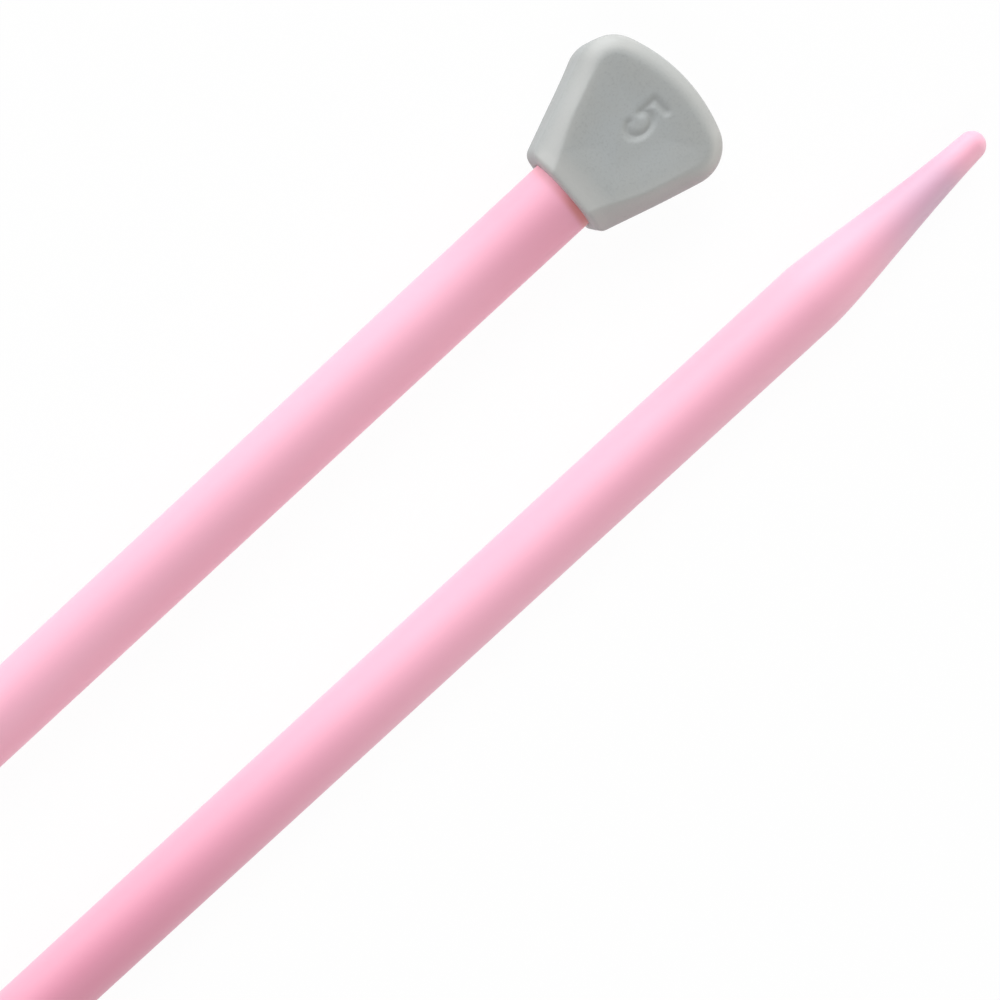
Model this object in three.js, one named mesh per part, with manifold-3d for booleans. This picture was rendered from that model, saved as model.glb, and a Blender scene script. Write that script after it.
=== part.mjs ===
// A pair of straight knitting needles laid side by side, the head of each beside the point of the other.
// Each needle is two pieces: a round shaft with a tapered point, and a moulded fan-shaped head that is
// pushed onto the shaft's plain end and keeps the stitches from sliding off.
// Millimetres, +Z up. The needles lie along X on the plane Z = 0, and the origin is under the pair's middle.

import * as THREE from 'three';
import { mergeVertices } from 'three/addons/utils/BufferGeometryUtils.js';
import Module from 'manifold-3d';

// Shaft
const NEEDLE_LENGTH = 250; // from the end of the point to the end of the head
const SHAFT_DIAMETER = 5;
const SHAFT_END_CHAMFER = 0.6; // on the plain end that goes into the head

// Point
const POINT_LENGTH = 16.2; // from the end of the point to the full shaft
const POINT_END_RADIUS = 1;
const POINT_END_SLOPE = THREE.MathUtils.degToRad(3.5); // of the flank where it leaves the round end
const POINT_FLANK_REACH = 0.38; // share of the point's length that keeps near the end's slope
const POINT_SHOULDER_REACH = 0.17; // share of it that eases into the shaft

// Head, a flat fan that widens from its neck to a domed end
const HEAD_LENGTH = 10.5;
const HEAD_WIDTH = 11.4;
const HEAD_THICKNESS = 6.8;
const NECK_WIDTH = 6.6; // between the flanks at the mouth
const HEAD_END_RADIUS = 11.4; // of the domed end, seen from above
const HEAD_CORNER_RADIUS = 2.5; // of the two wide corners, seen from above
const NECK_CORNER_RADIUS = 0.9; // of the two corners at the mouth, seen from above
const EDGE_ROUND = 1.1; // rounding all round the two flat faces

// Socket in the head for the shaft's plain end
const SOCKET_DEPTH = 7;
const SOCKET_CLEARANCE = 0.15; // round the shaft
const SOCKET_END_GAP = 0.2; // between the shaft's end and the socket's floor
const SOCKET_LEAD_IN = 0.3; // chamfer at the mouth

// The pair
const NEEDLE_SPACING = 16.6; // between the two shafts' axes
const POINT_OVERHANG = 13.4; // of each point past the end of the other needle's head

// Finishes
const SHAFT_COLOUR = 0xf1c3cf;
const SHAFT_ROUGHNESS = 0.42;
const HEAD_COLOUR = 0xa6acac;
const HEAD_ROUGHNESS = 0.5;

// Facets
const ROUND_SIDES = 40; // round the shaft and the socket, a multiple of four so that one corner is lowest
const END_STEPS = 6;
const TAPER_STEPS = 12;
const NECK_STEPS = 4;
const CORNER_STEPS = 9;
const DOME_STEPS = 6;
const EDGE_STEPS = 4;
const SMALLEST_RADIUS = 0.05; // keeps the points of an inset corner apart
const CUT_PAST_MOUTH = 1;

// A needle's own frame has X along the shaft towards the head, and its origin where the axis meets the mouth
const shaftRadius = SHAFT_DIAMETER / 2;
const socketRadius = shaftRadius + SOCKET_CLEARANCE;
const pointEndX = HEAD_LENGTH - NEEDLE_LENGTH;
const shoulderX = pointEndX + POINT_LENGTH;

const wasm = await Module();
wasm.setup();

// Points along an arc, in order, both ends included
function arcPoints(centreX, centreY, radius, fromAngle, toAngle, steps) {
  const points = [];
  for (let step = 0; step <= steps; step += 1) {
    const angle = THREE.MathUtils.lerp(fromAngle, toAngle, step / steps);
    const x = centreX + radius * Math.cos(angle);
    const y = centreY + radius * Math.sin(angle);
    points.push(new THREE.Vector2(x, y));
  }
  return points;
}

// A solid turned about X from a profile of points that hold a place along X and a radius
function turned(profile) {
  const upright = profile.map((point) => new THREE.Vector2(point.y, point.x));
  const geometry = new THREE.LatheGeometry(upright, ROUND_SIDES);
  geometry.rotateZ(-Math.PI / 2);
  return geometry;
}

// A closed geometry as a solid that can be cut, with the flat triangles at the poles of a turned one left out
function solidOf(geometry) {
  const plain = geometry.clone();
  plain.deleteAttribute('normal');
  plain.deleteAttribute('uv');
  const merged = mergeVertices(plain);
  const corners = merged.index.array;
  const triangles = [];
  for (let start = 0; start < corners.length; start += 3) {
    const [a, b, c] = corners.slice(start, start + 3);
    if (a !== b && b !== c && c !== a) {
      triangles.push(a, b, c);
    }
  }
  const mesh = new wasm.Mesh({
    numProp: 3,
    vertProperties: new Float32Array(merged.attributes.position.array),
    triVerts: new Uint32Array(triangles),
  });
  return new wasm.Manifold(mesh);
}

// A solid as a geometry
function geometryOf(solid) {
  const mesh = solid.getMesh();
  const geometry = new THREE.BufferGeometry();
  geometry.setAttribute('position', new THREE.Float32BufferAttribute(mesh.vertProperties, 3));
  geometry.setIndex(new THREE.Uint32BufferAttribute(mesh.triVerts, 1));
  geometry.computeVertexNormals();
  return geometry;
}

// The shaft: round end, tapered flank that eases into the full diameter, straight barrel, chamfered plain end
function shaftGeometry() {
  const endCentreX = pointEndX + POINT_END_RADIUS;
  const flankNormal = Math.PI / 2 + POINT_END_SLOPE;
  const roundEnd = arcPoints(endCentreX, 0, POINT_END_RADIUS, Math.PI, flankNormal, END_STEPS);
  const flankStart = roundEnd[END_STEPS];
  const shoulder = new THREE.Vector2(shoulderX, shaftRadius);
  const flankPull = new THREE.Vector2(Math.cos(POINT_END_SLOPE), Math.sin(POINT_END_SLOPE));
  flankPull.multiplyScalar(POINT_FLANK_REACH * POINT_LENGTH).add(flankStart);
  const shoulderPull = new THREE.Vector2(shoulderX - POINT_SHOULDER_REACH * POINT_LENGTH, shaftRadius);
  const taper = new THREE.CubicBezierCurve(flankStart, flankPull, shoulderPull, shoulder);
  const plainEndX = SOCKET_DEPTH - SOCKET_END_GAP;
  roundEnd[0].y = 0;
  return turned([
    ...roundEnd,
    ...taper.getPoints(TAPER_STEPS).slice(1),
    new THREE.Vector2(plainEndX - SHAFT_END_CHAMFER, shaftRadius),
    new THREE.Vector2(plainEndX, shaftRadius - SHAFT_END_CHAMFER),
    new THREE.Vector2(plainEndX, 0),
  ]);
}

// The fan's outline seen from above, moved in by an inset: from the mouth's -Y corner round the domed end
// to its +Y corner. The flanks run from the neck's width at the mouth to the rounds of the wide corners.
function fanOutline(inset) {
  const domeX = HEAD_LENGTH - HEAD_END_RADIUS;
  const cornerY = HEAD_WIDTH / 2 - HEAD_CORNER_RADIUS;
  const cornerX = domeX + Math.sqrt((HEAD_END_RADIUS - HEAD_CORNER_RADIUS) ** 2 - cornerY ** 2);
  const spread = cornerY - NECK_WIDTH / 2;
  const reach = Math.hypot(cornerX, spread);
  const flankAngle = Math.atan2(spread, cornerX) + Math.asin(HEAD_CORNER_RADIUS / reach);
  const domeAngle = Math.atan2(cornerY, cornerX - domeX);
  const neckRadius = Math.max(NECK_CORNER_RADIUS - inset, SMALLEST_RADIUS);
  const neckIn = inset + neckRadius;
  const neckY = NECK_WIDTH / 2 + neckIn * Math.tan(flankAngle) - neckIn / Math.cos(flankAngle);
  const flankNormal = Math.PI / 2 + flankAngle;
  const cornerRadius = HEAD_CORNER_RADIUS - inset;
  const upperHalf = [
    ...arcPoints(neckIn, neckY, neckRadius, Math.PI, flankNormal, NECK_STEPS),
    ...arcPoints(cornerX, cornerY, cornerRadius, flankNormal, domeAngle, CORNER_STEPS),
    ...arcPoints(domeX, 0, HEAD_END_RADIUS - inset, domeAngle, 0, DOME_STEPS).slice(1),
  ];
  const lowerHalf = upperHalf.map((point) => new THREE.Vector2(point.x, -point.y));
  return [...lowerHalf, ...upperHalf.reverse().slice(1)];
}

// The fan with its rounded edges: outlines stacked from the lower face to the upper one
function fanGeometry() {
  const layers = [];
  for (let step = -EDGE_STEPS; step <= EDGE_STEPS; step += 1) {
    const turn = (Math.abs(step) / EDGE_STEPS) * (Math.PI / 2);
    const outline = fanOutline(EDGE_ROUND * (1 - Math.cos(turn)));
    const height = HEAD_THICKNESS / 2 - EDGE_ROUND + EDGE_ROUND * Math.sin(turn);
    if (step <= 0) {
      layers.push({ outline, z: -height });
    }
    if (step >= 0) {
      layers.push({ outline, z: height });
    }
  }
  const count = layers[0].outline.length;
  const positions = layers.flatMap((layer) => layer.outline.flatMap((point) => [point.x, point.y, layer.z]));
  const triangles = [];
  for (let layer = 0; layer + 1 < layers.length; layer += 1) {
    for (let side = 0; side < count; side += 1) {
      const a = layer * count + side;
      const b = layer * count + ((side + 1) % count);
      triangles.push(a, b, b + count, a, b + count, a + count);
    }
  }
  const top = (layers.length - 1) * count;
  const face = THREE.ShapeUtils.triangulateShape(layers[0].outline, []);
  face.forEach(([a, b, c]) => triangles.push(c, b, a, top + a, top + b, top + c));
  const geometry = new THREE.BufferGeometry();
  geometry.setAttribute('position', new THREE.Float32BufferAttribute(positions, 3));
  geometry.setIndex(triangles);
  return geometry;
}

// The head: the fan with a blind socket that opens at its mouth through a chamfer
function headGeometry() {
  const socket = turned([
    new THREE.Vector2(-CUT_PAST_MOUTH, 0),
    new THREE.Vector2(-CUT_PAST_MOUTH, socketRadius + SOCKET_LEAD_IN + CUT_PAST_MOUTH),
    new THREE.Vector2(SOCKET_LEAD_IN, socketRadius),
    new THREE.Vector2(SOCKET_DEPTH, socketRadius),
    new THREE.Vector2(SOCKET_DEPTH, 0),
  ]);
  return geometryOf(solidOf(fanGeometry()).subtract(solidOf(socket)));
}

function piece(name, geometry, colour, roughness) {
  const material = new THREE.MeshStandardMaterial({ color: colour, roughness, metalness: 0 });
  const mesh = new THREE.Mesh(geometry, material);
  mesh.name = name;
  return mesh;
}

// A needle lying on the plane: it touches at the head's lower face, next to the neck, and where the point
// begins, so the shaft slopes down a little from the thicker head
function needle(name) {
  const slope = Math.atan2(HEAD_THICKNESS / 2 - shaftRadius, EDGE_ROUND - shoulderX);
  const lying = new THREE.Group();
  lying.add(piece(`${name}_shaft`, shaftGeometry(), SHAFT_COLOUR, SHAFT_ROUGHNESS));
  lying.add(piece(`${name}_head`, headGeometry(), HEAD_COLOUR, HEAD_ROUGHNESS));
  lying.rotation.y = -slope;
  lying.position.x = (NEEDLE_LENGTH - POINT_OVERHANG) / 2 - HEAD_LENGTH;
  lying.position.y = NEEDLE_SPACING / 2;
  lying.position.z = (HEAD_THICKNESS / 2) * Math.cos(slope) - EDGE_ROUND * Math.sin(slope);
  return lying;
}

// The second needle is the first turned end for end about the pair's middle
const firstNeedle = needle('first_needle');
const secondNeedle = new THREE.Group();
secondNeedle.add(needle('second_needle'));
secondNeedle.rotation.z = Math.PI;

const pair = new THREE.Group();
pair.name = 'knitting_needles';
pair.add(firstNeedle, secondNeedle);

export default pair;
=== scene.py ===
"""A pair of straight knitting needles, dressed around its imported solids.

Sizes are in millimetres in a needle's own frame: X runs along the shaft towards the head, the origin is
where the axis meets the head's mouth, and Z points up from the table. Placed meshes are in metres.
"""

import logging
import math
from dataclasses import dataclass, field
from enum import Enum

import bmesh
import bpy
from mathutils import Matrix, Vector

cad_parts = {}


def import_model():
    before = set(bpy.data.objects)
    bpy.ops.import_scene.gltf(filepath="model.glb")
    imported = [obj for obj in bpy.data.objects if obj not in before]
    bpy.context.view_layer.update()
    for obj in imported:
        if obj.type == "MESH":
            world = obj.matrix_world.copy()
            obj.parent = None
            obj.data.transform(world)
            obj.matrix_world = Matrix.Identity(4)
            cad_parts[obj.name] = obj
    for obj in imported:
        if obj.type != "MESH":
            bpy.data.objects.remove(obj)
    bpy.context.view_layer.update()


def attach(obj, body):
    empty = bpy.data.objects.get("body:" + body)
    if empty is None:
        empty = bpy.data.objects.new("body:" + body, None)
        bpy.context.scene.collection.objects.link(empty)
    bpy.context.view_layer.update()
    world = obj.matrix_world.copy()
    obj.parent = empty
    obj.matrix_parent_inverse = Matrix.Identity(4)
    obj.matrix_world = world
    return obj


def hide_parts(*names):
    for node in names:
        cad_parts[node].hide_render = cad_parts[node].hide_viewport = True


LOG = logging.getLogger("needles")
METRES_PER_MM = 0.001
# Mean of a noise pattern, and what turns a bevel's level into about a distance
NOISE_MEAN = 0.5
BEVEL_TO_DISTANCE = 0.6
# Least radius in millimetres that has a direction, and longest edge in metres that counts as none
NEAR_AXIS = 0.001
FLAT_EDGE = 1e-8

Number = "Field | float"
Pair = tuple[float, float]
Triple = tuple[float, float, float]
Colour = Triple
Tree = bpy.types.NodeTree
Socket = bpy.types.NodeSocket
Material = bpy.types.Material
Mesh = bpy.types.Mesh


class Lay(Enum):
    """Which end of a needle lies towards +X, as the turn about Z that puts it there."""

    HEAD_FORWARD = 0.0
    POINT_FORWARD = math.pi


class Mask(Enum):
    """Named values that the meshes carry over their surface for the finishes to read."""

    # Mauve tint on the point, stronger on one side as painted shade.
    POINT_TINT = "film"
    # Painted shadow beside the head's mouth.
    CONTACT = "contact"
    # Painted shade and painted light along the shaft.
    PAINTED_SHADING = "handled"
    EDGE = "edge"
    GROOVE = "groove"
    MIDDLE = "middle"


# Helpers


def add_object(name: str, data: bpy.types.ID) -> bpy.types.Object:
    """Puts a new object into the scene.

    Args:
        name: Name of the object.
        data: Its mesh, lamp or camera.

    Returns:
        The object.
    """
    made = bpy.data.objects.new(name, data)
    bpy.context.scene.collection.objects.link(made)
    return made


def empty_tree(owner: bpy.types.ID) -> Tree:
    """Clears the nodes of a material or a world.

    Args:
        owner: The material or world.

    Returns:
        Its node tree, with nothing in it.
    """
    owner.use_nodes = True
    owner.node_tree.nodes.clear()
    return owner.node_tree


def connect(tree: Tree, socket: Socket, value: object) -> None:
    """Gives an input a value.

    Args:
        tree: Tree that the input is in.
        socket: The input.
        value: A field, a socket or a plain value.
    """
    source = value.socket if isinstance(value, Field) else value
    if isinstance(source, Socket):
        tree.links.new(source, socket)
    else:
        socket.default_value = source


def add_node(tree: Tree, kind: str, **wires: object) -> bpy.types.Node:
    """Adds a node, sets its options and fills its inputs.

    Args:
        tree: Tree that gets the node.
        kind: Type of the node.
        wires: Value, field or socket for an input, under its name with _ for a space, and the choice for
            an option, under its name in lower case.

    Returns:
        The node.
    """
    node = tree.nodes.new(kind)
    for name, value in wires.items():
        if name.islower():
            setattr(node, name, value)
        else:
            connect(tree, node.inputs[name.replace("_", " ")], value)
    return node


@dataclass(frozen=True)
class Field:
    """A number that varies over a shape, with operators that add Math nodes to its tree.

    Attributes:
        tree: Node tree that the number belongs to.
        socket: Output socket that carries it.
    """

    tree: Tree
    socket: Socket

    def math(self, operation: str, *others: Number) -> "Field":
        """Adds one Math node.

        Args:
            operation: Name of the node's operation.
            others: Further operands, fields or plain numbers.

        Returns:
            The node's result.
        """
        node = add_node(self.tree, "ShaderNodeMath", operation=operation)
        for socket, value in zip(node.inputs, (self, *others)):
            connect(self.tree, socket, value)
        return Field(self.tree, node.outputs[0])

    def __add__(self, other: Number) -> "Field":
        """The sum."""
        return self.math("ADD", other)

    def __sub__(self, other: Number) -> "Field":
        """The difference."""
        return self.math("SUBTRACT", other)

    def __mul__(self, other: Number) -> "Field":
        """The product."""
        return self.math("MULTIPLY", other)

    def __truediv__(self, other: Number) -> "Field":
        """The quotient."""
        return self.math("DIVIDE", other)

    def __pow__(self, exponent: Number) -> "Field":
        """A power of a number that isn't negative."""
        return self.math("POWER", exponent)

    def __neg__(self) -> "Field":
        """The same with its sign turned."""
        return self.math("MULTIPLY", -1.0)

    def __abs__(self) -> "Field":
        """The size without its sign."""
        return self.math("ABSOLUTE")

    def higher(self, other: Number) -> "Field":
        """The higher of two."""
        return self.math("MAXIMUM", other)

    def lower(self, other: Number) -> "Field":
        """The lower of two."""
        return self.math("MINIMUM", other)

    def squared(self) -> "Field":
        """The square."""
        return self * self

    def root(self) -> "Field":
        """The square root."""
        return self.math("SQRT")

    def sine(self) -> "Field":
        """The sine of an angle in radians."""
        return self.math("SINE")

    def cosine(self) -> "Field":
        """The cosine of an angle in radians."""
        return self.math("COSINE")

    def within(self, low: Number, high: Number) -> "Field":
        """The same held between two limits."""
        return self.higher(low).lower(high)

    def eased(self, start: Number, end: Number) -> "Field":
        """Goes smoothly from 0 at start to 1 at end."""
        span = end - start
        share = ((self - start) / span).within(0.0, 1.0)
        return share.squared() * (share * -2.0 + 3.0)

    def between(self, start: Number, end: Number) -> "Field":
        """Goes from start where this is 0 to end where it is 1."""
        return self * end + (self * -1.0 + 1.0) * start

    def hypot(self, other: "Field") -> "Field":
        """The length of the diagonal over two."""
        return (self.squared() + other.squared()).root()


def rounded_overlap(one: Field, other: Field, radius: Number) -> Field:
    """Where two shapes overlap, with a round of a given radius along the edge between them.

    Args:
        one: Signed distance to the first shape, negative inside.
        other: Signed distance to the second.
        radius: Radius of the round.

    Returns:
        Signed distance to the overlap.
    """
    bend = (one + radius).higher(0.0).hypot((other + radius).higher(0.0))
    flat = (one.higher(other) + radius).lower(0.0)
    return flat + bend - radius


def bevelled_overlap(
    wall: Field, face: Field, reach: Number, drop: Number, bends: tuple[Number, Number]
) -> Field:
    """Where a wall and a face overlap, with a bevel that runs softly out into the wall.

    Args:
        wall: Signed distance to the wall, negative inside.
        face: Signed distance to the face.
        reach: How far in on the face the bevel begins.
        drop: How far down the wall it runs out.
        bends: Its bend at the face and at the wall, from 1 for a crease to 2 for a round.

    Returns:
        Signed distance to the overlap, close to its surface.
    """
    past_wall = wall / reach + 1.0
    past_face = face / drop + 1.0
    bend = past_wall.higher(0.0) ** bends[0] + past_face.higher(0.0) ** bends[1]
    inside = past_wall.higher(past_face).lower(0.0)
    return (inside + bend - 1.0) * reach * BEVEL_TO_DISTANCE


@dataclass(frozen=True)
class CornerRound:
    """The round of an outline's corner, seen from above.

    Attributes:
        centre: Centre of the round.
        past_one: Direction in which the round begins where the first side ends.
        past_other: The same for the second side.
    """

    centre: Vector
    past_one: Vector
    past_other: Vector

    def cut(self, plain: Field, x: Field, y: Field, radius: Field) -> Field:
        """Rounds the corner.

        Args:
            plain: Signed distance to the outline with a sharp corner.
            x: Place along the outline.
            y: Place across it.
            radius: Radius of the round.

        Returns:
            Signed distance to the outline with a round corner.
        """
        from_x = x - self.centre.x
        from_y = y - self.centre.y
        share = self.beyond(from_x, from_y, self.past_one) * self.beyond(from_x, from_y, self.past_other)
        arc = from_x.hypot(from_y) - radius
        return plain + (arc - plain) * share

    @staticmethod
    def beyond(from_x: Field, from_y: Field, direction: Vector) -> Field:
        """1 where a place lies in a direction from the centre, and 0 elsewhere."""
        return (from_x * direction.x + from_y * direction.y).math("GREATER_THAN", 0.0)


class ShapeTree:
    """A geometry node tree under construction, with named inputs and the values they get."""

    def __init__(self, name: str) -> None:
        """Starts the tree.

        Args:
            name: Name of the tree.
        """
        self.name = name
        self.tree = bpy.data.node_groups.new(name, "GeometryNodeTree")
        self.tree.interface.new_socket("Geometry", in_out="OUTPUT", socket_type="NodeSocketGeometry")
        self.entry = self.tree.nodes.new("NodeGroupInput")
        self.exit = self.tree.nodes.new("NodeGroupOutput")
        self.values: dict[str, float] = {}

    def size(self, name: str, value: float) -> Field:
        """Adds a named input.

        Args:
            name: Name of the input.
            value: Value that the modifier gives it.

        Returns:
            The input as a field.
        """
        made = self.tree.interface.new_socket(name, in_out="INPUT", socket_type="NodeSocketFloat")
        self.values[made.identifier] = value
        return Field(self.tree, self.entry.outputs[name])

    def node(self, kind: str, **wires: object) -> Socket:
        """Adds a node with its options and inputs, and gives its first output."""
        return add_node(self.tree, kind, **wires).outputs[0]

    def point(self, x: Number, y: Number) -> Socket:
        """A place from two numbers, at the height of the axis."""
        return self.node("ShaderNodeCombineXYZ", X=x, Y=y)

    def position(self) -> tuple[Field, Field, Field]:
        """The place of each point of whatever shape the fields are used on."""
        place = self.node("GeometryNodeInputPosition")
        split = add_node(self.tree, "ShaderNodeSeparateXYZ", Vector=place)
        return tuple(Field(self.tree, split.outputs[axis]) for axis in "XYZ")

    def keep(self, geometry: Socket, mask: Mask, value: Field) -> Socket:
        """Keeps a value on the points of a mesh under a mask's name."""
        kind = "GeometryNodeStoreNamedAttribute"
        options = {"data_type": "FLOAT", "domain": "POINT"}
        return self.node(kind, **options, Geometry=geometry, Name=mask.value, Value=value)

    def mesh(self, geometry: Socket, material: Material) -> Mesh:
        """Ends the tree and evaluates it.

        Args:
            geometry: Socket with the finished shape.
            material: Finish of the whole shape.

        Returns:
            The shape as a plain mesh.
        """
        smooth = self.node("GeometryNodeSetShadeSmooth", Geometry=geometry)
        real = self.node("GeometryNodeRealizeInstances", Geometry=smooth)
        dressed = self.node("GeometryNodeSetMaterial", Geometry=real, Material=material)
        self.tree.links.new(dressed, self.exit.inputs[0])
        carrier = add_object(self.name, bpy.data.meshes.new(self.name))
        modifier = carrier.modifiers.new("Shape", "NODES")
        modifier.node_group = self.tree
        for identifier, value in self.values.items():
            modifier[identifier] = value
        depsgraph = bpy.context.evaluated_depsgraph_get()
        made = bpy.data.meshes.new_from_object(carrier.evaluated_get(depsgraph))
        carrier.modifiers.remove(modifier)
        bpy.data.objects.remove(carrier)
        made.materials.clear()
        made.materials.append(material)
        made.polygons.foreach_set("material_index", [0] * len(made.polygons))
        return made


class FinishTree:
    """A material's nodes under construction, round one Principled BSDF."""

    def __init__(self, name: str) -> None:
        """Starts the material.

        Args:
            name: Name of the material.
        """
        self.material = bpy.data.materials.new(name)
        self.tree = empty_tree(self.material)
        self.shader = self.tree.nodes.new("ShaderNodeBsdfPrincipled")
        add_node(self.tree, "ShaderNodeOutputMaterial", Surface=self.shader.outputs[0])
        self.place = self.tree.nodes.new("ShaderNodeTexCoord").outputs["Object"]

    def mask(self, mask: Mask) -> Field:
        """A value that the mesh carries."""
        node = add_node(self.tree, "ShaderNodeAttribute", attribute_name=mask.value)
        return Field(self.tree, node.outputs["Fac"])

    def set(self, name: str, value: object) -> None:
        """Gives one of the shader's inputs a field, a socket or a plain value."""
        connect(self.tree, self.shader.inputs[name], value)

    def stretched(self, along: float) -> Socket:
        """Object coordinates drawn out along X.

        Args:
            along: How many times a pattern is drawn out.

        Returns:
            The coordinates.
        """
        scale = (1.0 / along, 1.0, 1.0)
        return add_node(self.tree, "ShaderNodeMapping", Scale=scale, Vector=self.place).outputs[0]

    def grain(self, place: Socket, drift: float, grain: float) -> tuple[Field, Field]:
        """Places the shared surface grain.

        Args:
            place: Coordinates that it follows.
            drift: Size of the slow drift of tone, in millimetres.
            grain: Size of the fine grain, in millimetres.

        Returns:
            The drift and the grain, each about 0.5.
        """
        sizes = {"Drift_Size": drift, "Grain_Size": grain}
        node = add_node(self.tree, "ShaderNodeGroup", node_tree=surface_grain(), Place=place, **sizes)
        return Field(self.tree, node.outputs["Drift"]), Field(self.tree, node.outputs["Grain"])

    def mix(self, share: Field, one: object, other: object) -> Socket:
        """One colour going over into another.

        Args:
            share: How much of the second colour there is, from 0 to 1.
            one: First colour, as three numbers or a socket.
            other: Second colour.

        Returns:
            The mixed colour.
        """
        node = add_node(self.tree, "ShaderNodeMix", data_type="RGBA", Factor=share)
        for name, value in (("A", one), ("B", other)):
            socket = next(s for s in node.inputs if s.name == name and s.type == "RGBA")
            connect(self.tree, socket, value if isinstance(value, Socket) else (*value, 1.0))
        return next(s for s in node.outputs if s.type == "RGBA")

    def bump(self, height: Field, depth: float) -> None:
        """Raises the surface by a height, in the shading only.

        Args:
            height: Height from 0 to 1.
            depth: What a height of 1 stands for, in millimetres.
        """
        node = add_node(self.tree, "ShaderNodeBump", Distance=depth * METRES_PER_MM, Height=height)
        self.set("Normal", node.outputs[0])


def surface_grain() -> Tree:
    """The grain of moulded and drawn plastic: a slow drift of tone and a fine grain.

    Returns:
        The shader node group, made once.
    """
    name = "surface_grain"
    if name in bpy.data.node_groups:
        return bpy.data.node_groups[name]
    tree = bpy.data.node_groups.new(name, "ShaderNodeTree")
    tree.interface.new_socket("Place", in_out="INPUT", socket_type="NodeSocketVector")
    entry = tree.nodes.new("NodeGroupInput")
    leave = tree.nodes.new("NodeGroupOutput")
    one_metre = tree.nodes.new("ShaderNodeValue")
    one_metre.outputs[0].default_value = 1.0 / METRES_PER_MM
    for result, size, detail in (("Drift", "Drift Size", 2.0), ("Grain", "Grain Size", 4.0)):
        tree.interface.new_socket(size, in_out="INPUT", socket_type="NodeSocketFloat")
        tree.interface.new_socket(result, in_out="OUTPUT", socket_type="NodeSocketFloat")
        scale = Field(tree, one_metre.outputs[0]) / Field(tree, entry.outputs[size])
        place = entry.outputs["Place"]
        noise = add_node(tree, "ShaderNodeTexNoise", Detail=detail, Scale=scale, Vector=place)
        tree.links.new(noise.outputs["Fac"], leave.inputs[result])
    return tree


# Finishes


@dataclass(frozen=True)
class ShaftFinish:
    """Satin pale pink, drawn lengthwise, with painted shade and painted light along the shaft, a painted
    shadow line at the head's mouth and a mauve tint over the point.

    Attributes:
        pink: Colour of the shaft.
        pale: Colour where its tone drifts lighter.
        deep: Colour of the painted shade along the shaft: a darker stretch standing in for light that falls
            off, and beside the head.
        mauve: Colour of the tint on the point.
        mouth_shadow_red: Colour of the painted shadow line where the shaft enters the head.
        bloom: Colour of the pale bloom on the sides that turn away.
        bloom_share: Strength of the bloom.
        bloom_spread: How far round the sides the bloom reaches, as its roughness.
        roughness: Mean roughness.
        roughness_spread: How far the grain moves the roughness.
        specular: Strength of the sheen.
        specular_tint: Colour of the sheen.
        drift: Size of the drift of tone across the shaft, in millimetres.
        drift_range: Values of the drift between which the tone turns pale.
        grain: Size of the grain across the shaft, in millimetres.
        drawn: How many times longer than wide the grain is.
        grain_depth: Depth of the grain, in millimetres.
    """

    pink: Colour = (0.813, 0.379, 0.495)
    pale: Colour = (0.84, 0.4, 0.517)
    deep: Colour = (0.62, 0.203, 0.304)
    mauve: Colour = (0.55, 0.302, 0.422)
    mouth_shadow_red: Colour = (0.57, 0.16, 0.145)
    bloom: Colour = (1.0, 0.92, 0.96)
    bloom_share: float = 0.33
    bloom_spread: float = 0.6
    roughness: float = 0.6
    roughness_spread: float = 0.10
    specular: float = 1.0
    specular_tint: Colour = (0.7, 0.95, 1.0)
    drift: float = 3.0
    drift_range: Pair = (0.3, 0.7)
    grain: float = 0.22
    drawn: float = 9.0
    grain_depth: float = 0.004

    def material(self) -> Material:
        """Makes the material.

        Returns:
            The material.
        """
        finish = FinishTree("shaft_satin_pink")
        drift, grain = finish.grain(finish.stretched(self.drawn), self.drift, self.grain)
        body = finish.mix(drift.eased(*self.drift_range), self.pink, self.pale)
        # Painted shade and painted light along the shaft.
        shaded = finish.mix(finish.mask(Mask.PAINTED_SHADING), body, self.deep)
        # A mauve tint on the point, stronger on the +Y side as painted shade.
        tinted = finish.mix(finish.mask(Mask.POINT_TINT), shaded, self.mauve)
        # Painted shadow: a dark red line on the shaft beside the head's mouth.
        mouth_shadowed = finish.mix(finish.mask(Mask.CONTACT), tinted, self.mouth_shadow_red)
        finish.set("Base Color", mouth_shadowed)
        finish.set("Roughness", (grain - NOISE_MEAN) * self.roughness_spread + self.roughness)
        finish.set("Sheen Weight", self.bloom_share)
        finish.set("Sheen Roughness", self.bloom_spread)
        finish.set("Sheen Tint", (*self.bloom, 1.0))
        finish.set("Specular IOR Level", self.specular)
        finish.set("Specular Tint", (*self.specular_tint, 1.0))
        finish.bump(grain, self.grain_depth)
        return finish.material


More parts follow.
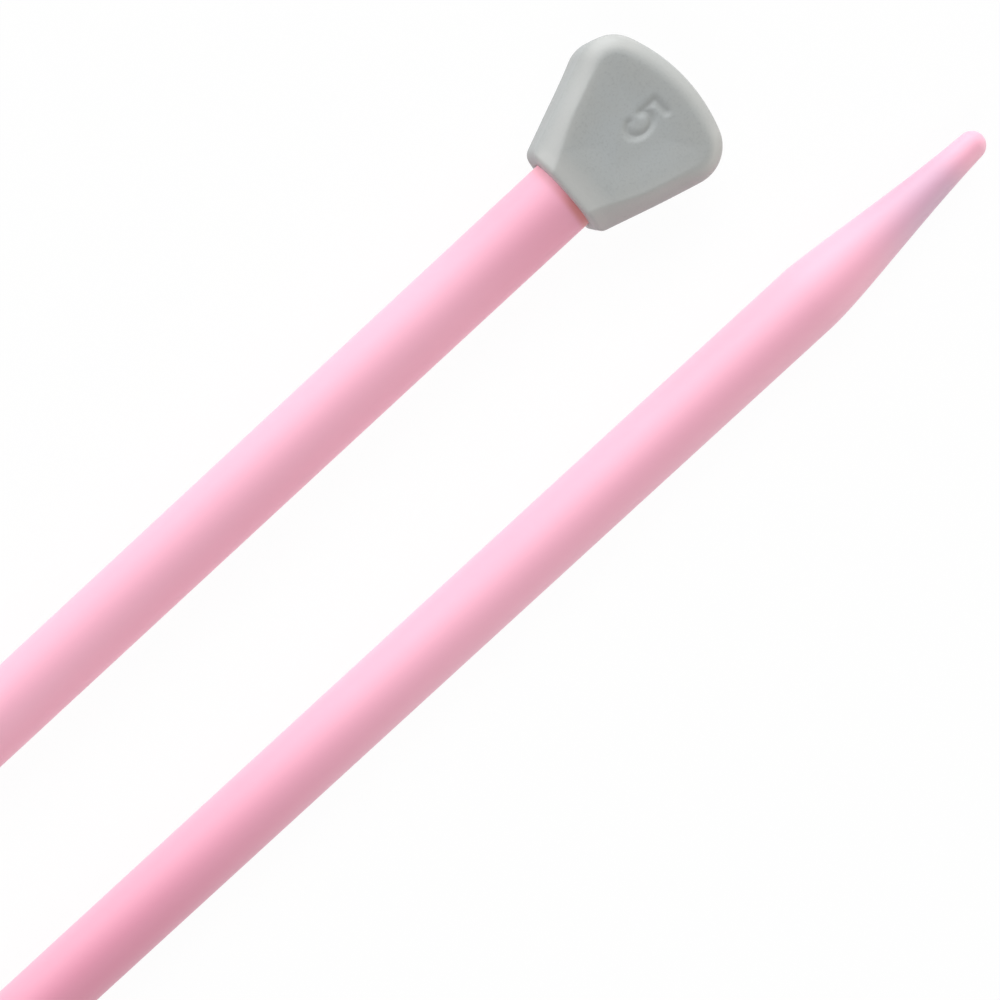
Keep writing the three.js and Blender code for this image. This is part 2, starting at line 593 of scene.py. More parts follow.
@dataclass(frozen=True)
class HeadFinish:
    """Fine satin moulded grey, paler on the edges as wear and painted highlight, darker in the number, and
    with painted shade on the walls.

    Attributes:
        grey: Colour of the head.
        cool: Colour in the middle of the faces and where its tone drifts.
        fleck: Colour of the fine flecks in the moulded skin.
        edge_wear_and_highlight: Colour on the rounded edges, partly wear and partly painted highlight.
        number_dark_and_wall_shade: Colour in the sunk number, and painted shade on the walls below the
            bevel.
        flecks: How much of the flecks' colour shows.
        edge_pale: How much of the edges' colour shows.
        darkening: How much of that darker colour shows.
        roughness: Mean roughness.
        roughness_spread: How far the grain moves the roughness.
        drift: Size of the drift of tone, in millimetres.
        drift_range: Values of the drift between which the tone turns cool.
        drift_share: Share of the cool tone that follows the drift. The rest follows the faces.
        grain: Size of the grain, in millimetres.
        grain_range: Values of the grain between which a fleck comes up.
        grain_depth: Depth of the grain, in millimetres.
    """

    grey: Colour = (0.332, 0.343, 0.336)
    cool: Colour = (0.333, 0.352, 0.355)
    fleck: Colour = (0.28, 0.292, 0.29)
    edge_wear_and_highlight: Colour = (0.40, 0.405, 0.395)
    number_dark_and_wall_shade: Colour = (0.28, 0.292, 0.29)
    flecks: float = 0.7
    edge_pale: float = 0.6
    darkening: float = 0.65
    roughness: float = 0.52
    roughness_spread: float = 0.12
    drift: float = 2.2
    drift_range: Pair = (0.35, 0.65)
    drift_share: float = 0.4
    grain: float = 0.16
    grain_range: Pair = (0.48, 0.78)
    grain_depth: float = 0.008

    def material(self) -> Material:
        """Makes the material.

        Returns:
            The material.
        """
        finish = FinishTree("head_moulded_grey")
        drift, grain = finish.grain(finish.place, self.drift, self.grain)
        drifted = drift.eased(*self.drift_range) * self.drift_share
        cooled = drifted + finish.mask(Mask.MIDDLE) * (1.0 - self.drift_share)
        body = finish.mix(cooled, self.grey, self.cool)
        flecked = finish.mix(grain.eased(*self.grain_range) * self.flecks, body, self.fleck)
        # Paler rounded edges: partly wear and partly painted highlight.
        edged = finish.mix(finish.mask(Mask.EDGE) * self.edge_pale, flecked, self.edge_wear_and_highlight)
        # Darker in the sunk number, and painted shade on the walls below the bevel.
        colour = finish.mix(finish.mask(Mask.GROOVE) * self.darkening, edged, self.number_dark_and_wall_shade)
        finish.set("Base Color", colour)
        finish.set("Roughness", (grain - NOISE_MEAN) * self.roughness_spread + self.roughness)
        finish.bump(grain, self.grain_depth)
        return finish.material


# The needle


@dataclass
class Shaft:
    """The round shaft: rounded end, tapered point, straight barrel and chamfered plain end.

    Attributes:
        needle_length: From the point's end to the head's end.
        diameter: Of the barrel.
        point_length: From the point's end to the full diameter.
        end_radius: Of the point's rounded end.
        end_slope: Slope of the flank where it leaves the rounded end, in radians.
        flank_reach: Share of the point that keeps near that slope.
        shoulder_reach: Share of it that eases into the barrel.
        plain_end: Where the plain end stands in the socket.
        chamfer: On the plain end.
        head_length: Length of the head that the needle's length takes in.
        sides: Facets round the shaft.
        end_rings: Rings on the point's rounded end.
        taper_rings: Rings on its flank.
        barrel_rings: Rings between the stops along the barrel and over the plain end.
        end_rise: How far the middle of the plain end stands out.
        weld: Distance below which two points are one.
        point_set: How far the point's end has set to one side.
        set_run: Length of the point that has set.
        set_bend: How the set grows towards the end, from 1 for evenly.
        tint_from: Distances from the point's end where the mauve tint comes up.
        tint_to: Distances where it dies away.
        tint_back: Share of the tint on the -Y side of the needle's own frame, where it is faint; its growth
            towards +Y is painted shade.
        tint_turn: Places across the shaft between which it comes up, as shares of the radius.
        shade_from: Distances from the point's end where the painted shade of a darker stretch begins,
            standing in for light that falls off.
        shade_to: Distances where it ends.
        shade_all: Share of the painted shade all over the shaft.
        shade_side: Parts of that share and of the stretch's own shade that the -Y side has; less shade
            there paints that side lighter, as painted light.
        shade_turn: Places across the shaft between which they come up.
        mouth_shade_to: Distances from the head's mouth where the painted shade beside the head dies away.
        mouth_shade: Share of the painted shade beside the head.
        contact_to: Distances from the head's mouth where the painted shadow line beside the mouth dies
            away.
        contact: Share of the painted shadow's colour in it.
        contact_back: Share of the painted shadow on the +Y side of the needle's own frame, where it is
            faint.
        contact_turn: Places across the shaft between which it turns faint.
    """

    needle_length: float = 250.0
    diameter: float = 5.0
    point_length: float = 16.2
    end_radius: float = 1.0
    end_slope: float = math.radians(3.5)
    flank_reach: float = 0.38
    shoulder_reach: float = 0.17
    plain_end: float = 6.8
    chamfer: float = 0.6
    head_length: float = 10.5
    sides: int = 96
    end_rings: int = 14
    taper_rings: int = 48
    barrel_rings: tuple[int, ...] = (56, 9, 9, 4, 1, 4)
    end_rise: float = 0.01
    weld: float = 0.0005
    point_set: float = 0.0
    set_run: float = 14.0
    set_bend: float = 1.3
    tint_from: Pair = (1.5, 4.5)
    tint_to: Pair = (5.4, 13.0)
    tint_back: float = 0.8
    tint_turn: Pair = (-0.5, 0.6)
    shade_from: Pair = (46.0, 87.0)
    shade_to: Pair = (135.0, 185.0)
    shade_all: float = 0.25
    shade_side: Pair = (1.0, 1.0)
    shade_turn: Pair = (-1.0, 0.0)
    mouth_shade_to: Pair = (1.5, 12.0)
    mouth_shade: float = 0.4
    contact_to: Pair = (0.2, 0.7)
    contact: float = 0.9
    contact_back: float = 0.3
    contact_turn: Pair = (-0.5, 0.5)

    @property
    def point_end(self) -> float:
        """Where the point ends along X."""
        return self.head_length - self.needle_length

    @property
    def shoulder(self) -> float:
        """Where the full diameter begins along X."""
        return self.point_end + self.point_length

    def profile(self, shape: ShapeTree) -> list[Socket]:
        """Draws the outline of half the shaft, place along X against radius.

        Args:
            shape: Tree that gets the curves.

        Returns:
            The curves, from the point's end to the plain end.
        """
        radius = shape.size("Shaft Radius", self.diameter / 2)
        end_x = shape.size("Point End", self.point_end)
        length = shape.size("Point Length", self.point_length)
        round_end = shape.size("Point End Radius", self.end_radius)
        slope = shape.size("Point End Slope", self.end_slope)
        plain = shape.size("Plain End", self.plain_end)
        chamfer = shape.size("Plain End Chamfer", self.chamfer)
        arc = shape.node(
            "GeometryNodeCurveArc",
            mode="RADIUS",
            Resolution=self.end_rings,
            Radius=round_end,
            Start_Angle=math.pi,
            Sweep_Angle=slope - math.pi / 2,
        )
        centre = end_x + round_end
        tip = shape.node("GeometryNodeTransform", Geometry=arc, Translation=shape.point(centre, 0.0))
        start_x = centre - slope.sine() * round_end
        start_y = slope.cosine() * round_end
        pull = length * self.flank_reach
        shoulder = end_x + length
        taper = shape.node(
            "GeometryNodeCurvePrimitiveBezierSegment",
            mode="POSITION",
            Resolution=self.taper_rings,
            Start=shape.point(start_x, start_y),
            Start_Handle=shape.point(start_x + slope.cosine() * pull, start_y + slope.sine() * pull),
            End_Handle=shape.point(shoulder - length * self.shoulder_reach, radius),
            End=shape.point(shoulder, radius),
        )
        stops = [
            shape.point(shoulder, radius),
            shape.point(-self.mouth_shade_to[1], radius),
            shape.point(-self.contact_to[1], radius),
            shape.point(0.0, radius),
            shape.point(plain - chamfer, radius),
            shape.point(plain, radius - chamfer),
            shape.point(plain + self.end_rise, 0.0),
        ]
        curves = [tip, taper]
        for start, end, cuts in zip(stops, stops[1:], self.barrel_rings):
            line = shape.node("GeometryNodeCurvePrimitiveLine", Start=start, End=end)
            curves.append(shape.node("GeometryNodeSubdivideCurve", Curve=line, Cuts=cuts))
        return curves

    def mesh(self, material: Material) -> Mesh:
        """Turns the outline about X.

        Args:
            material: Finish of the shaft.

        Returns:
            The shaft in the needle's own frame.
        """
        shape = ShapeTree("shaft_shape")
        together = shape.tree.nodes.new("GeometryNodeJoinGeometry")
        for curve in self.profile(shape):
            shape.tree.links.new(curve, together.inputs[0])
        points = shape.node("GeometryNodeResampleCurve", mode="EVALUATED", Curve=together.outputs[0])
        x, y, _ = shape.position()
        sized = shape.node("GeometryNodeSetCurveRadius", Curve=points, Radius=y.higher(0.0))
        straight = shape.node("GeometryNodeSetPosition", Geometry=sized, Position=shape.point(x, 0.0))
        ring = shape.node("GeometryNodeCurvePrimitiveCircle", Resolution=self.sides, Radius=1.0)
        radius = shape.node("GeometryNodeInputRadius")
        skin = shape.node("GeometryNodeCurveToMesh", Curve=straight, Profile_Curve=ring, Scale=radius)
        welded = shape.node("GeometryNodeMergeByDistance", Geometry=skin, Distance=self.weld)
        along = x - self.point_end
        lean = (-(along / self.set_run) + 1.0).higher(0.0) ** self.set_bend
        aside = shape.point(0.0, lean * shape.size("Point Set", self.point_set))
        moved = shape.node("GeometryNodeSetPosition", Geometry=welded, Offset=aside)
        # Painted shade: a darker stretch standing in for light that falls off, painted shade beside the
        # head, and less of both on the -Y side as painted light.
        stretch = along.eased(*self.shade_from) * (-along.eased(*self.shade_to) + 1.0)
        around = (y * 2.0 / self.diameter).eased(*self.shade_turn)
        overall = around.between(self.shade_side[0], 1.0) * self.shade_all
        shaded = stretch * around.between(self.shade_side[1], 1.0)
        mouth_shade = (-(-x).eased(*self.mouth_shade_to) + 1.0) * self.mouth_shade
        handled = overall + shaded.higher(mouth_shade) * (1.0 - self.shade_all)
        kept = shape.keep(moved, Mask.PAINTED_SHADING, handled)
        # Painted shadow line beside the head's mouth.
        kept = shape.keep(kept, Mask.CONTACT, self.painted_mouth_shadow(shape))
        kept = shape.keep(kept, Mask.POINT_TINT, self.film(shape, along))
        return shape.mesh(kept, material)

    def painted_mouth_shadow(self, shape: ShapeTree) -> Field:
        """How much painted shadow lies at a place on the shaft, in a line beside the head's mouth, fainter
        on the +Y side.

        Args:
            shape: Tree that gets the nodes.

        Returns:
            A field from 0 to 1.
        """
        x, y, _ = shape.position()
        turned = (y * 2.0 / self.diameter).eased(*self.contact_turn)
        return (-(-x).eased(*self.contact_to) + 1.0) * turned.between(self.contact, self.contact_back)

    def film(self, shape: ShapeTree, along: Field) -> Field:
        """How much of the mauve tint lies at a place on the shaft, more on the +Y side as painted shade.

        Args:
            shape: Tree that gets the nodes.
            along: Distance from the point's end.

        Returns:
            A field from 0 to 1.
        """
        _, y, z = shape.position()
        facing = (y / y.hypot(z).higher(NEAR_AXIS)).eased(*self.tint_turn)
        around = facing * (1.0 - self.tint_back) + self.tint_back
        return along.eased(*self.tint_from) * (-along.eased(*self.tint_to) + 1.0) * around


@dataclass
class SizeNumber:
    """The number 5 sunk into the head's upper face, drawn with one round-nosed stroke.

    Attributes:
        centre: Where its middle stands along the head, from the mouth.
        bar: Left and right end of the flag, and its height above the middle.
        stem_foot: Where the stem meets the bowl, right of and above the middle.
        bowl_centre: Middle of the bowl.
        bowl_size: Half the bowl's width and height.
        bowl_turn: Direction that the bowl's sweep is centred on, in radians.
        bowl_sweep: Half of the bowl's sweep, in radians.
        stroke: Width of the stroke.
        soft: How far its edges are rounded, to each side.
        depth: How deep it is sunk.
        darkening: Shares of that depth between which it turns darker.
    """

    centre: float = 6.73
    bar: Triple = (-0.45, 0.55, 1.27)
    stem_foot: Pair = (-0.54, 0.06)
    bowl_centre: Pair = (-0.08, -0.47)
    bowl_size: Pair = (0.64, 0.87)
    bowl_turn: float = math.radians(-2.5)
    bowl_sweep: float = math.radians(143.5)
    stroke: float = 0.36
    soft: float = 0.29
    depth: float = 0.16
    darkening: Pair = (0.05, 0.65)

    @staticmethod
    def stroke_between(x: Field, y: Field, start: Pair, end: Pair) -> Field:
        """Distance to a straight stroke.

        Args:
            x: Place right of the number's middle.
            y: Place above it.
            start: One end of the stroke's middle line.
            end: Its other end.

        Returns:
            Distance to the middle line.
        """
        run = Vector(end) - Vector(start)
        from_x = x - start[0]
        from_y = y - start[1]
        share = ((from_x * run.x + from_y * run.y) / run.length_squared).within(0.0, 1.0)
        return (from_x - share * run.x).hypot(from_y - share * run.y)

    def sunk(self, x: Field, y: Field) -> Field:
        """Share of the full depth at a place on the face.

        Args:
            x: Place along the head, from the mouth.
            y: Place across it.

        Returns:
            A field from 0 to 1.
        """
        right = -y
        up = x - self.centre
        left, end, top = self.bar
        flag = self.stroke_between(right, up, (left, top), (end, top))
        stem = self.stroke_between(right, up, (left, top), self.stem_foot)
        bowl_x = (right - self.bowl_centre[0]) / self.bowl_size[0]
        bowl_y = (up - self.bowl_centre[1]) / self.bowl_size[1]
        cosine = math.cos(self.bowl_turn)
        sine = math.sin(self.bowl_turn)
        turned_x = bowl_x * cosine + bowl_y * sine
        turned_y = bowl_y * cosine - bowl_x * sine
        angle = turned_y.math("ARCTAN2", turned_x).within(-self.bowl_sweep, self.bowl_sweep)
        off_bowl = (turned_x - angle.cosine()).hypot(turned_y - angle.sine())
        bowl = off_bowl * math.sqrt(self.bowl_size[0] * self.bowl_size[1])
        distance = flag.lower(stem).lower(bowl)
        half = self.stroke / 2
        return -distance.eased(half - self.soft, half + self.soft) + 1.0


@dataclass
class Head:
    """The moulded fan-shaped head: rounded edges, slightly sunken faces, socket and size number.

    Attributes:
        length: From the mouth to the domed end.
        width: Across the wide corners.
        thickness: Between the two faces.
        neck_width: Between the flanks at the mouth.
        end_radius: Of the domed end, seen from above.
        corner_radius: Of the wide corners, seen from above.
        neck_radius: Of the corners at the mouth, seen from above.
        edge_round: Rounding that the faces lie back by.
        bevel: Width of the bevel round the faces, at the neck, along the flanks and at the wide end.
        bevel_aside: How much wider it is on one flank, and narrower on the other.
        aside_band: Half the width of the middle band over which that changes.
        bevel_run: Places along the head between which the bevel narrows.
        bevel_soft: Places between which it turns soft.
        bevel_drop: How far down the wall the bevel runs, at the neck, along the flanks and at the wide end.
        face_bend: Bend where it leaves the face, on the flanks and at the wide end: 1 a crease, 2 a round.
        wall_bend: Bend where it runs out into the wall, in the same places.
        pale_in: How far in on the face the flanks' pale edge tone, partly wear and partly painted
            highlight, dies away.
        pale_run: Depths over which that tone comes up, on the flanks and at the wide end.
        pale_flanks: How many times stronger it is on the flanks.
        mouth_highlight: Places along the head between which its doubling at the mouth, a painted highlight,
            dies away.
        corner_pale_run: Places along the head between which its doubling at the wide corners comes up.
        corner_pale_out: Distances from the axis between which that does.
        wall_shade: Distances to the wall's outline between which the wall's painted shade comes up.
        wall_shade_edge: How far to each side of the bevel's lower edge that shade is soft.
        mouth_edge: Rounding of the faces' edges at the mouth.
        sink: How far the middle of each face is drawn in by cooling.
        sink_run: How far in from the rounded edge the face reaches that depth.
        seam: Height of the moulding seam half way up the edge.
        seam_width: Half its width.
        socket_radius: Of the bore that takes the shaft.
        socket_depth: Of that bore.
        mouth_round: Rounding where the bore opens.
        lean: Turn of the fan on its socket, seen from above, in radians.
        skew: Turn of the domed end on the fan, in radians.
        skew_run: Places along the head between which that turn comes up.
        number: The sunk size number.
        cell: Size of the cells that the shape is worked out on.
        margin: Room round the shape in that grid.
    """

    length: float = 10.5
    width: float = 11.4
    thickness: float = 6.8
    neck_width: float = 6.6
    end_radius: float = 11.4
    corner_radius: float = 2.5
    neck_radius: float = 0.5
    edge_round: float = 1.1
    bevel: Triple = (1.6, 1.12, 1.3)
    bevel_aside: float = 0.08
    aside_band: float = 1.0
    bevel_run: Pair = (0.0, 4.0)
    bevel_soft: Pair = (5.2, 8.2)
    bevel_drop: Triple = (1.8, 1.5, 1.25)
    face_bend: Pair = (1.2, 1.8)
    wall_bend: Pair = (1.5, 2.0)
    pale_in: float = 0.8
    pale_run: Pair = (1.32, 0.77)
    pale_flanks: float = 1.25
    mouth_highlight: Pair = (0.2, 1.1)
    corner_pale_run: Pair = (5.5, 8.5)
    corner_pale_out: Pair = (2.5, 4.5)
    wall_shade: Pair = (-0.3, -0.1)
    wall_shade_edge: float = 0.3
    mouth_edge: float = 0.3
    sink: float = 0.12
    sink_run: float = 2.6
    seam: float = 0.015
    seam_width: float = 0.16
    socket_radius: float = 2.53
    socket_depth: float = 7.0
    mouth_round: float = 0.1
    lean: float = 0.0
    skew: float = 0.0
    skew_run: Pair = (3.0, 8.5)
    number: SizeNumber = field(default_factory=SizeNumber)
    cell: float = 0.086
    margin: float = 0.7

    @property
    def dome_centre(self) -> float:
        """Centre of the domed end along X."""
        return self.length - self.end_radius

    @property
    def corner_centre(self) -> Vector:
        """Centre of a wide corner's round."""
        across = self.width / 2 - self.corner_radius
        along = math.sqrt((self.end_radius - self.corner_radius) ** 2 - across**2)
        return Vector((self.dome_centre + along, across))

    @property
    def flank_angle(self) -> float:
        """Angle between a flank and the axis, so that the flank meets the round of its corner."""
        reach = self.corner_centre - Vector((0.0, self.neck_width / 2))
        return math.atan2(reach.y, reach.x) + math.asin(self.corner_radius / reach.length)

    @property
    def wide_corner(self) -> CornerRound:
        """Round between a flank and the domed end."""
        centre = self.corner_centre
        out = (centre - Vector((self.dome_centre, 0.0))).normalized()
        flank = Vector((math.cos(self.flank_angle), math.sin(self.flank_angle)))
        return CornerRound(centre, flank, Vector((-out.y, out.x)))

    def outline(self, shape: ShapeTree, x: Field, y: Field) -> Field:
        """Signed distance to the fan seen from above, with its flanks running on past the mouth.

        Args:
            shape: Tree that gets the nodes.
            x: Place along the fan.
            y: Place across it.

        Returns:
            The distance.
        """
        neck = shape.size("Neck Width", self.neck_width) / 2.0
        angle = shape.size("Flank Angle", self.flank_angle)
        dome_x = shape.size("Dome Centre", self.dome_centre)
        dome_radius = shape.size("Dome Radius", self.end_radius)
        away = abs(y)
        flank = (away - neck) * angle.cosine() - x * angle.sine()
        dome = (x - dome_x).hypot(y) - dome_radius
        corner = shape.size("Corner Radius", self.corner_radius)
        return self.wide_corner.cut(flank.higher(dome), x, away, corner)

    def solid(self, shape: ShapeTree, place: tuple[Field, Field, Field]) -> tuple[Field, dict[Mask, Field]]:
        """Signed distance to the head.

        Args:
            shape: Tree that gets the nodes.
            place: Place in the needle's own frame.

        Returns:
            The distance, and the values that the head carries over its surface.
        """
        x, y, z = place
        lean = shape.size("Lean", self.lean)
        fan_x = x * lean.cosine() + y * lean.sine()
        fan_y = y * lean.cosine() - x * lean.sine()
        half = shape.size("Thickness", self.thickness) / 2.0
        narrowing = fan_x.eased(*self.bevel_run)
        softening = fan_x.eased(*self.bevel_soft)
        neck_bevel = shape.size("Neck Bevel", self.bevel[0])
        aside = fan_y.within(-self.aside_band, self.aside_band) * self.bevel_aside
        flank_bevel = narrowing.between(neck_bevel, self.bevel[1]) - aside
        bevel = softening.between(flank_bevel, self.bevel[2])
        neck_drop = shape.size("Neck Bevel Drop", self.bevel_drop[0])
        drop = softening.between(narrowing.between(neck_drop, self.bevel_drop[1]), self.bevel_drop[2])
        bends = softening.between(*self.face_bend), softening.between(*self.wall_bend)
        skew = fan_x.eased(*self.skew_run) * shape.size("Skew", self.skew)
        running_on = self.outline(shape, fan_x + fan_y * skew, fan_y - (fan_x - self.length / 2) * skew)
        closed = rounded_overlap(running_on, -x, shape.size("Neck Corner Radius", self.neck_radius))
        middle = (-closed - bevel).eased(0.0, self.sink_run)
        sink = middle * shape.size("Face Sink", self.sink)
        number = self.number.sunk(fan_x, fan_y)
        top = z - half + sink + number * shape.size("Number Depth", self.number.depth)
        slab = top.higher(-z - half + sink)
        ridge = ((z / self.seam_width).squared() * -1.0).math("EXPONENT")
        seam = ridge * shape.size("Seam Height", self.seam)
        bevelled = bevelled_overlap(running_on - seam, slab, bevel, drop, bends)
        mouthed = rounded_overlap(bevelled, -x, shape.size("Mouth Edge", self.mouth_edge))
        fan = mouthed.higher(closed - seam)
        bore = y.hypot(z) - shape.size("Socket Radius", self.socket_radius)
        socket = bore.higher(x - shape.size("Socket Depth", self.socket_depth))
        head = rounded_overlap(fan, -socket, shape.size("Mouth Round", self.mouth_round))
        # Paler edges, partly wear and partly painted highlight; the doubling at the mouth is painted
        # highlight.
        flanks = (closed + bevel + self.pale_in).lower(slab + drop).eased(0.0, self.pale_run[0])
        dome = (closed + bevel).lower(slab + bevel).eased(0.0, self.pale_run[1])
        edge_wear_and_highlight = softening.between(flanks * self.pale_flanks, dome)
        mouth = -x.eased(*self.mouth_highlight) + 1.0
        corners = fan_x.eased(*self.corner_pale_run) * abs(fan_y).eased(*self.corner_pale_out)
        # Painted shade on the walls below the bevel.
        below = (-(slab + drop)).eased(-self.wall_shade_edge, self.wall_shade_edge)
        in_number = number.eased(*self.number.darkening) * z.eased(0.0, self.thickness / 4)
        masks = {
            Mask.EDGE: edge_wear_and_highlight * (mouth.higher(corners) + 1.0),
            Mask.GROOVE: in_number.higher(closed.eased(*self.wall_shade) * below),
            Mask.MIDDLE: middle,
        }
        return head, masks

    def mesh(self, material: Material) -> Mesh:
        """Works the head out as a solid on a fine grid and skins it.

        Args:
            material: Finish of the head.

        Returns:
            The head in the needle's own frame.
        """
        shape = ShapeTree("head_shape")
        head, masks = self.solid(shape, shape.position())
        room = Vector((self.margin,) * 3)
        low = Vector((0.0, -self.width / 2, -self.thickness / 2)) - room
        high = Vector((self.length, self.width / 2, self.thickness / 2)) + room
        cells = {
            f"Resolution_{axis}": round((top - bottom) / self.cell) + 1
            for axis, top, bottom in zip("XYZ", high, low)
        }
        grid = shape.node(
            "GeometryNodeVolumeCube", Density=-head, Background=-1.0, Min=low, Max=high, **cells
        )
        skin = shape.node("GeometryNodeVolumeToMesh", Volume=grid, Threshold=0.0)
        for mask, value in masks.items():
            skin = shape.keep(skin, mask, value)
        return shape.mesh(skin, material)


@dataclass
class Needle:
    """One needle: a shaft with a head pushed onto its plain end, lying on the table.

    Attributes:
        body: CAD body that the needle is.
        lay: Which end lies towards +X.
        shaft: The shaft.
        head: The head.
        spacing: Between the axes of the two needles of the pair.
        overhang: Of each point past the other needle's head.
    """

    body: str
    lay: Lay
    shaft: Shaft = field(default_factory=Shaft)
    head: Head = field(default_factory=Head)
    spacing: float = 16.6
    overhang: float = 13.4

    def placing(self) -> Matrix:
        """Where the needle lies.

        Returns:
            The change from the needle's own frame in millimetres to the shared one in metres.
        """
        head = self.head
        rise = head.thickness / 2 - self.shaft.diameter / 2
        slope = math.atan2(rise, head.edge_round - self.shaft.shoulder)
        along = (self.shaft.needle_length - self.overhang) / 2 - head.length
        up = head.thickness / 2 * math.cos(slope) - head.edge_round * math.sin(slope)
        lying = Matrix.Translation((along, self.spacing / 2, up)) @ Matrix.Rotation(-slope, 4, "Y")
        turn = Matrix.Rotation(self.lay.value, 4, "Z")
        return Matrix.Scale(METRES_PER_MM, 4) @ turn @ lying

    def build(self, finishes: dict[str, Material]) -> None:
        """Makes the needle's two pieces.

        Args:
            finishes: Material for each of the record's slots.
        """
        placing = self.placing()
        for part, kind, slot in (
            (self.shaft, "shaft", "shaft_plastic"),
            (self.head, "head", "head_plastic"),
        ):
            mesh = part.mesh(finishes[slot])
            mesh.transform(placing)
            self.add_piece(kind, mesh)

    def add_piece(self, kind: str, mesh: Mesh) -> None:
        """Puts a placed mesh on the needle's body in place of its CAD node.

        Args:
            kind: Last part of the CAD node's name.
            mesh: The placed mesh.
        """
        close_mesh(mesh)
        piece = add_object(f"{self.body}_{kind}_dressed", mesh)
        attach(piece, self.body)
        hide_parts(f"{self.body}_{kind}")
        LOG.info("%s: %d faces, finish %s", piece.name, len(mesh.polygons), mesh.materials[0].name)


def close_mesh(mesh: Mesh) -> None:
    """Leaves out flat faces and turns every face outwards."""
    work = bmesh.new()
    work.from_mesh(mesh)
    bmesh.ops.dissolve_degenerate(work, dist=FLAT_EDGE, edges=work.edges)
    bmesh.ops.recalc_face_normals(work, faces=work.faces)
    work.to_mesh(mesh)
    work.free()


# The studio


@dataclass
class Lamp:
    """A soft area lamp.

    Attributes:
        name: Name of the lamp.
        heading: Direction that it stands in, seen from above, in degrees from +X.
        elevation: Its height above the horizon, in degrees.
        level: Light that it throws on a surface facing it, where 1 shows white as white.
        distance: From the middle of the view, in metres.
        size: Width and height, in metres.
        casts: Whether one needle shades the other from it.
        colour: Colour of its light.
    """

    name: str
    heading: float
    elevation: float
    level: float
    distance: float = 1.0
    size: Pair = (0.7, 0.5)
    casts: bool = True
    colour: Colour = (1.0, 1.0, 1.0)

    def build(self, middle: Vector) -> None:
        """Makes the lamp, turned towards the middle of the view.

        Args:
            middle: Point that it lights.
        """
        data = bpy.data.lights.new(self.name, "AREA")
        data.shape = "RECTANGLE"
        data.size, data.size_y = self.size
        data.color = self.colour
        data.use_shadow = self.casts
        data.energy = self.level * math.pi**2 * self.distance**2
        lamp = add_object(self.name, data)
        around = math.radians(self.heading)
        above = math.radians(self.elevation)
        flat = math.cos(above)
        towards = Vector((math.cos(around) * flat, math.sin(around) * flat, math.sin(above)))
        lamp.location = middle + towards * self.distance
        lamp.rotation_mode = "QUATERNION"
        lamp.rotation_quaternion = towards.to_track_quat("Z", "Y")
        lamp.visible_camera = False


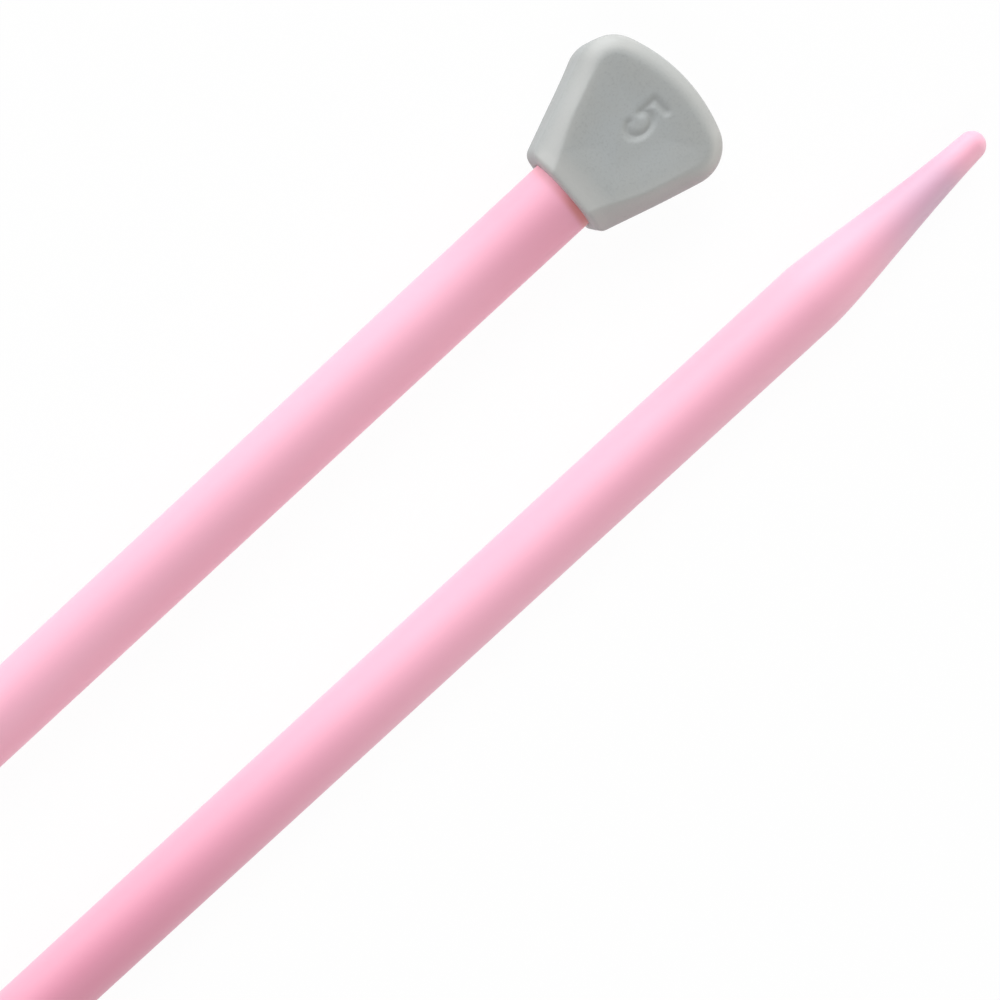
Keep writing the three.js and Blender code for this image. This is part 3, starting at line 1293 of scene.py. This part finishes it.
@dataclass
class Studio:
    """A white sweep under soft light from the top of the picture.

    Attributes:
        middle: Middle of the view on the table, in millimetres.
        floor_size: Side of the floor, in metres.
        floor_white: How light the floor's own surface is.
        whitening: Share of plain white in the floor as it is seen.
        ambient: Even light from all round, where 1 shows white as white.
        lamps: The soft lamps.
    """

    middle: Triple = (91.0, -4.7, 0.0)
    floor_size: float = 6.0
    floor_white: float = 0.9
    whitening: float = 0.94
    ambient: float = 0.4
    lamps: tuple[Lamp, ...] = (
        Lamp("key_top", heading=60.0, elevation=8.0, level=0.775, casts=False, colour=(0.965, 0.99, 1.0)),
        Lamp("side_left", heading=105.0, elevation=8.0, level=0.24, casts=False),
        Lamp("edge_right", heading=0.0, elevation=8.0, level=0.17, casts=False),
        Lamp("warm_right", heading=310.0, elevation=8.0, level=0.32, casts=False, colour=(1.0, 0.95, 0.82)),
        Lamp("top_high", heading=60.0, elevation=48.0, level=0.40),
        Lamp("fill_low", heading=210.0, elevation=50.0, level=0.22),
    )

    @staticmethod
    def seen(tree: Tree) -> Field:
        """Where something is looked at straight or in a reflection, and not lit by.

        Args:
            tree: Tree that gets the nodes.

        Returns:
            1 for such rays and 0 for others.
        """
        path = tree.nodes.new("ShaderNodeLightPath")
        rays = ("Is Camera Ray", "Is Glossy Ray", "Is Transmission Ray")
        camera, glossy, through = (Field(tree, path.outputs[ray]) for ray in rays)
        return camera.higher(glossy).higher(through)

    def floor_material(self) -> Material:
        """White that stays white under the camera and still takes the needles' shadows.

        Returns:
            The floor's material.
        """
        material = bpy.data.materials.new("white_sweep")
        tree = empty_tree(material)
        matt = add_node(tree, "ShaderNodeBsdfDiffuse", Color=(self.floor_white,) * 3 + (1.0,))
        white = tree.nodes.new("ShaderNodeEmission")
        blend = tree.nodes.new("ShaderNodeMixShader")
        parts = (self.seen(tree) * self.whitening, matt.outputs[0], white.outputs[0])
        for socket, value in zip(blend.inputs, parts):
            connect(tree, socket, value)
        add_node(tree, "ShaderNodeOutputMaterial", Surface=blend.outputs[0])
        return material

    def lay_floor(self) -> None:
        """Lays the floor."""
        half = self.floor_size / 2
        corners = [(-half, -half, 0.0), (half, -half, 0.0), (half, half, 0.0), (-half, half, 0.0)]
        mesh = bpy.data.meshes.new("floor")
        mesh.from_pydata(corners, [], [(0, 1, 2, 3)])
        mesh.materials.append(self.floor_material())
        floor = add_object("floor", mesh)

    def surround(self) -> None:
        """Sets even light all round, seen as plain white."""
        world = bpy.data.worlds.new("surroundings")
        tree = empty_tree(world)
        strength = self.seen(tree) * (1.0 - self.ambient) + self.ambient
        background = add_node(tree, "ShaderNodeBackground", Color=(1.0,) * 4, Strength=strength)
        add_node(tree, "ShaderNodeOutputWorld", Surface=background.outputs[0])
        bpy.context.scene.world = world

    def build(self) -> None:
        """Sets up the floor, the surroundings and the lamps."""
        self.lay_floor()
        self.surround()
        middle = Vector(self.middle) * METRES_PER_MM
        for lamp in self.lamps:
            lamp.build(middle)


@dataclass
class Viewpoint:
    """The camera where the picture was taken from.

    Attributes:
        place: Where it stands, in millimetres.
        aim: Point in the middle of the picture, in millimetres.
        heading: Direction on the table that points up in the picture, in degrees from +X.
        lens: Focal length, in millimetres.
        sensor: Width of the sensor, in millimetres.
        clip: Nearest and farthest distance that it sees, in metres.
    """

    place: Triple = (96.1936, 20.0808, 108.2544)
    aim: Triple = (91.1092, -4.6662, 0.0)
    heading: float = 47.8273
    lens: float = 57.6
    sensor: float = 36.0
    clip: Pair = (0.005, 50.0)

    def build(self) -> None:
        """Makes the scene's camera."""
        data = bpy.data.cameras.new("viewpoint")
        data.sensor_width = self.sensor
        data.lens = self.lens
        data.clip_start, data.clip_end = self.clip
        camera = add_object("viewpoint", data)
        place = Vector(self.place) * METRES_PER_MM
        back = (place - Vector(self.aim) * METRES_PER_MM).normalized()
        around = math.radians(self.heading)
        right = Vector((math.cos(around), math.sin(around), 0.0)).cross(back).normalized()
        up = back.cross(right)
        turn = Matrix((right, up, back)).transposed().to_4x4()
        camera.matrix_world = Matrix.Translation(place) @ turn
        bpy.context.scene.camera = camera


def main() -> None:
    """Builds the pair, the studio and the camera."""
    logging.basicConfig(level=logging.INFO, format="%(name)s: %(message)s")
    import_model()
    bpy.context.scene.view_settings.view_transform = "Standard"
    Viewpoint().build()
    Studio().build()
    finishes = {"shaft_plastic": ShaftFinish().material(), "head_plastic": HeadFinish().material()}
    leaning_head = Head(lean=math.radians(2.6), skew=0.03)
    # The second shaft has less painted shade on its -Y side, so that side is painted lighter.
    set_shaft = Shaft(point_set=-0.22, shade_side=(0.0, 0.5))
    first = Needle("first_needle", Lay.HEAD_FORWARD, head=leaning_head)
    second = Needle("second_needle", Lay.POINT_FORWARD, shaft=set_shaft)
    for needle in (first, second):
        needle.build(finishes)


if __name__ == "__main__":
    main()
